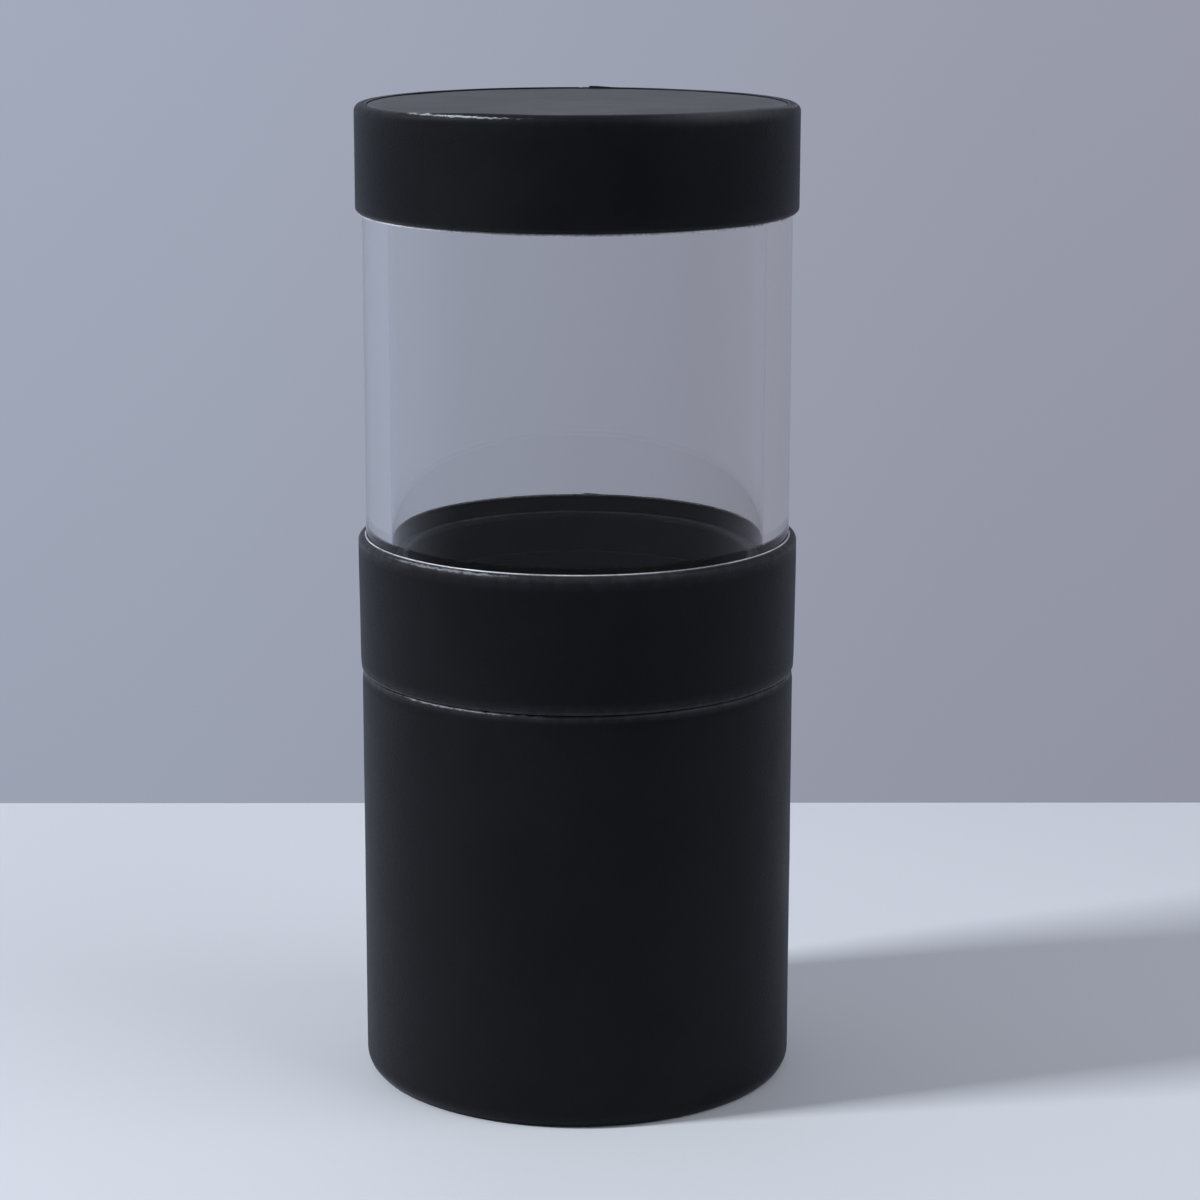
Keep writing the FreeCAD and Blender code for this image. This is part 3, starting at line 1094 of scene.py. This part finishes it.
collar_leather = turn(
    "collar_leather",
    [
        Corner(collar.inner, collar.low, SOFT),
        Corner(collar.outer - SEAM_DRAW, collar.low, COLLAR_LIP_ROUND, wear=0.6),
        Corner(collar.outer - COLLAR_SLACK, collar.low + SEAM_TAPER, EASED),
        Corner(collar.outer, collar.high - COLLAR_FULL, EASED),
        Corner(collar.outer, collar.high, COLLAR_ROUND, wear=0.6),
        held(leather_bore, collar.high, TIGHT),
        held(leather_bore, tube.low),
        held(collar.inner, tube.low),
    ],
    band_leather_painted_highlight,
    wave=0.05,
    wave_size=14.0,
    lap=Lap(angle=88.0, width=7.0, rise=0.3),
)
place_piece(collar_leather, "cover", "leather", "collar_wrap")

collar_bead = turn(
    "collar_bead",
    [
        held(tube.outer, collar.high - BEAD_SHOW),
        held(leather_bore, collar.high - BEAD_SHOW),
        Corner(tube.outer + BEAD_WIDTH, collar.high, CUT),
        Corner(tube.outer + BEAD_WIDTH / 2, collar.high + BEAD_SHOW, CUT),
        held(tube.outer, collar.high + BEAD_SHOW),
    ],
    glue,
    wave=0.06,
    wave_size=5.0,
)
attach(collar_bead, "cover")

# %% [markdown]
# ## The lid
#
# A leather band is wrapped round a card ring, curls in below it and folds over the top, where its
# raw rim stands a little above the leather disc inside. Both edges are rounded by the board below.
# The band's ends overlap at the back, so the rim has a small step there. It was folded by hand, so
# its front half stands up a little higher than the rest, which is a smooth lift of the turned mesh.

# %% Lift a rim
Lift = namedtuple("Lift", "angle spread fall foot rise")
RIM_LIFT = Lift(angle=283.0, spread=72.0, fall=35.0, foot=4.0, rise=0.85)


def lift_rim(piece, high, lift):
    """Draws a rim up over an arc, from nothing at its foot to most at its top."""
    for vertex in piece.data.vertices:
        compass = math.degrees(math.atan2(vertex.co.y, vertex.co.x))
        away = abs(math.remainder(compass - lift.angle, 360.0))
        near = min(1.0, max(0.0, (lift.spread - away) / lift.fall))
        share = max(0.0, 1.0 - (high - vertex.co.z / MM) / lift.foot)
        vertex.co.z += lift.rise * MM * share * near * near * (3.0 - 2.0 * near)


print(f"rim stands up {RIM_LIFT.rise} mm at the front")

# %% Lid band
LID_LOW_ROUND = 0.85
RIM_ROUND = 1.4
RIM_EDGE = 0.15
RIM_WAVE = 2.6

lid = size["lid_wrap"]
skirt = size["lid_skirt"]
lid_bore = skirt.outer + GLUE_LINE

lid_band = turn(
    "lid_band",
    [
        held(skirt.inner, lid.low, TIGHT),
        Corner(lid.outer, lid.low, LID_LOW_ROUND, wear=0.3),
        Corner(lid.outer, lid.high, RIM_ROUND, wear=0.35),
        Corner(lid.inner, lid.high, RIM_EDGE, skin=RIM_WAVE, wear=1.0),
        held(lid.inner, skirt.high),
        held(lid_bore, skirt.high),
        held(lid_bore, skirt.low),
        held(skirt.inner, skirt.low),
    ],
    rim_leather_fibre_and_highlights,
    wave=0.05,
    wave_size=14.0,
    lap=Lap(angle=86.6, width=7.0, rise=0.14),
)
lift_rim(lid_band, lid.high, RIM_LIFT)
place_piece(lid_band, "lid", "leather", "lid_wrap")

# %% Glue under the band
LID_BEAD_SHOW = 0.45
LID_BEAD_ROUND = 0.12

lid_bead = turn(
    "lid_bead",
    [
        Corner(skirt.inner - GLUE_LINE, lid.low - LID_BEAD_SHOW, TIGHT),
        Corner(skirt.inner + BEAD_WIDTH, lid.low - LID_BEAD_SHOW, LID_BEAD_ROUND),
        held(skirt.inner + BEAD_WIDTH, lid.low),
        held(skirt.inner - GLUE_LINE, lid.low),
    ],
    glue,
    wave=0.05,
    wave_size=4.0,
)
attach(lid_bead, "lid")

# %% Lid top and its lining
disc = size["lid_top_leather"]
lid_top = turn(
    "lid_top",
    [
        held(0.0, disc.low),
        held(disc.outer, disc.low),
        Corner(disc.outer, disc.high, BLUNT, wear=0.6),
        Corner(0.0, disc.high),
    ],
    top_leather,
    closed=False,
    wave=0.05,
    wave_size=13.0,
)
place_piece(lid_top, "lid", "leather", "lid_top_leather")

under_lid = size["lid_lining"]
lid_felt = turn(
    "lid_felt",
    [
        Corner(0.0, under_lid.low),
        Corner(under_lid.outer, under_lid.low, BLUNT),
        held(under_lid.outer, under_lid.high),
        held(0.0, under_lid.high),
    ],
    felt,
    closed=False,
    wave=0.04,
    wave_size=9.0,
)
place_piece(lid_felt, "lid", "lining", "lid_lining")

# %% [markdown]
# ### Loose fibres
#
# In the middle of the stretch where the rim is rubbed through, at the front left, pale fibres stand
# out of it, and a small tuft does at the back, where the ends of the band overlap. They follow a
# rule, so a second tree makes them: points along an arc of the rim, thinned by a noise so that they
# bunch, each with a thin cone that lies roughly along the rim. A fixed seed keeps them the same in
# every render.

# %% Build the fibre tree
FIBRE_INPUTS = {
    "Geometry": ["Geometry"],
    "Int": ["Count", "Seed"],
    "Float": ["Radius", "Height", "Start", "Sweep", "Length", "Thickness", "Scatter", "Lift"],
    "Material": ["Material"],
}
ARC_POINTS = 64
BUNCH_SIZE = 3.0
BARE_BELOW = 0.22
FIBRE_TILT = math.radians(25.0)
SHORTEST_FIBRE = 0.35
FIBRE_SIDES = 6


def random_value(tree, seed, low, high, kind="FLOAT"):
    """The output of a Random Value node, a number or a vector."""
    column = ("FLOAT_VECTOR", "FLOAT").index(kind)
    inputs = {2 * column: low, 2 * column + 1: high, "Seed": seed}
    return add_node(tree, "FunctionNodeRandomValue", inputs, data_type=kind).outputs[column]


def arc_points(tree, given):
    """Points along an arc, bunched by a noise and thinned towards both ends."""
    arc = add_node(tree, "GeometryNodeCurveArc", {
        "Resolution": ARC_POINTS,
        "Radius": given["Radius"],
        "Start Angle": given["Start"],
        "Sweep Angle": given["Sweep"],
    })
    points = add_node(tree, "GeometryNodeCurveToPoints", {
        "Curve": arc.outputs[0], "Count": given["Count"]
    })
    index = add_node(tree, "GeometryNodeInputIndex").outputs[0]
    share = maths(tree, "DIVIDE", index, given["Count"])
    from_end = maths(tree, "PINGPONG", maths(tree, "MULTIPLY", share, 2.0), 1.0)
    place = add_node(tree, "GeometryNodeInputPosition").outputs[0]
    noise = noise_texture(tree, place, 1 / (BUNCH_SIZE * MM), detail=2.0)
    bare = maths(tree, "LESS_THAN", maths(tree, "MULTIPLY", from_end, noise), BARE_BELOW)
    kept = add_node(tree, "GeometryNodeDeleteGeometry", {
        "Geometry": points.outputs["Points"], "Selection": bare
    })
    return kept.outputs[0], points.outputs["Rotation"]


def build_fibre_tree():
    """The tree that strews thin cones along an arc."""
    tree, given = new_geometry_tree("loose_fibres", FIBRE_INPUTS)
    points, along = arc_points(tree, given)
    seeds = [maths(tree, "ADD", given["Seed"], step) for step in range(3)]
    spread = random_value(tree, seeds[0], (-1.0, -1.0, 0.0), (1.0, 1.0, 1.0), "FLOAT_VECTOR")
    reach = add_node(tree, "ShaderNodeCombineXYZ", {
        "X": given["Scatter"], "Y": given["Scatter"], "Z": given["Lift"]
    })
    ground = add_node(tree, "ShaderNodeCombineXYZ", {"Z": given["Height"]})
    moves = {0: spread, 1: reach.outputs[0], 2: ground.outputs[0]}
    offset = add_node(tree, "ShaderNodeVectorMath", moves, operation="MULTIPLY_ADD")
    strewn = add_node(tree, "GeometryNodeSetPosition", {
        "Geometry": points, "Offset": offset.outputs[0]
    })
    tilt = random_value(tree, seeds[1], (-FIBRE_TILT,) * 3, (FIBRE_TILT,) * 3, "FLOAT_VECTOR")
    turns = {"Rotation": along, "Rotate By": tilt}
    lie = add_node(tree, "FunctionNodeRotateRotation", turns, rotation_space="LOCAL")
    length = random_value(tree, seeds[2], SHORTEST_FIBRE, 1.0)
    stretch = add_node(tree, "ShaderNodeCombineXYZ", {"X": 1.0, "Y": 1.0, "Z": length})
    cone = add_node(tree, "GeometryNodeMeshCone", {
        "Vertices": FIBRE_SIDES, "Radius Bottom": given["Thickness"], "Depth": given["Length"]
    })
    fibres = add_node(tree, "GeometryNodeInstanceOnPoints", {
        "Points": strewn.outputs[0],
        "Instance": cone.outputs["Mesh"],
        "Rotation": lie.outputs[0],
        "Scale": stretch.outputs[0],
    })
    close_tree(tree, fibres.outputs[0], given["Material"])
    return tree


fibre_tree = build_fibre_tree()
print("fibre tree:", len(fibre_tree.nodes), "nodes")

# %% Strew the fibres
FIBRE_RADIUS = 0.055
FIBRE_LIFT = 0.12
FIBRE_SEED = 7
SHOULDER_OUT = 1.0
SHOULDER_RISE = 0.16


def strew(name, radius, height, angle, sweep, count, length, scatter):
    """Fibres along an arc of the lid, in millimetres and degrees, on their own piece."""
    carrier = bpy.data.objects.new(f"{name}_arc", bpy.data.meshes.new(f"{name}_arc"))
    bpy.context.scene.collection.objects.link(carrier)
    tuft = carrier.modifiers.new("strewn", "NODES")
    tuft.node_group = fibre_tree
    set_inputs(tuft, {
        "Radius": radius * MM,
        "Height": height * MM,
        "Start": math.radians(angle - sweep / 2),
        "Sweep": math.radians(sweep),
        "Count": count,
        "Length": length * MM,
        "Thickness": FIBRE_RADIUS * MM,
        "Scatter": scatter * MM,
        "Lift": FIBRE_LIFT * MM,
        "Seed": FIBRE_SEED,
        "Material": raw_fibre,
    })
    piece = plain_copy(name, carrier)
    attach(piece, "lid")
    print(f"{name}: {len(piece.data.polygons)} faces")


strew(
    "rim_fibres",
    radius=lid.outer - RIM_ROUND + SHOULDER_OUT,
    height=lid.high + SHOULDER_RISE,
    angle=239.5,
    sweep=17.0,
    count=170,
    length=0.9,
    scatter=0.15,
)
strew(
    "rim_tuft",
    radius=lid.inner,
    height=lid.high,
    angle=89.0,
    sweep=1.6,
    count=26,
    length=0.4,
    scatter=0.2,
)

# %% [markdown]
# ## Boards that stay as they are
#
# The boards under the leather and felt have the right shape already, so they keep their own meshes
# and only take the pressed-board finish.

# %% Finish the boards
BOARDS = ("cup_wall", "cup_floor_board", "cup_bottom_filler", "neck_tube", "lid_board", "lid_skirt")
for name in BOARDS:
    for material_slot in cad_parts[name].material_slots:
        material_slot.material = board
print("boards finished:", ", ".join(BOARDS))
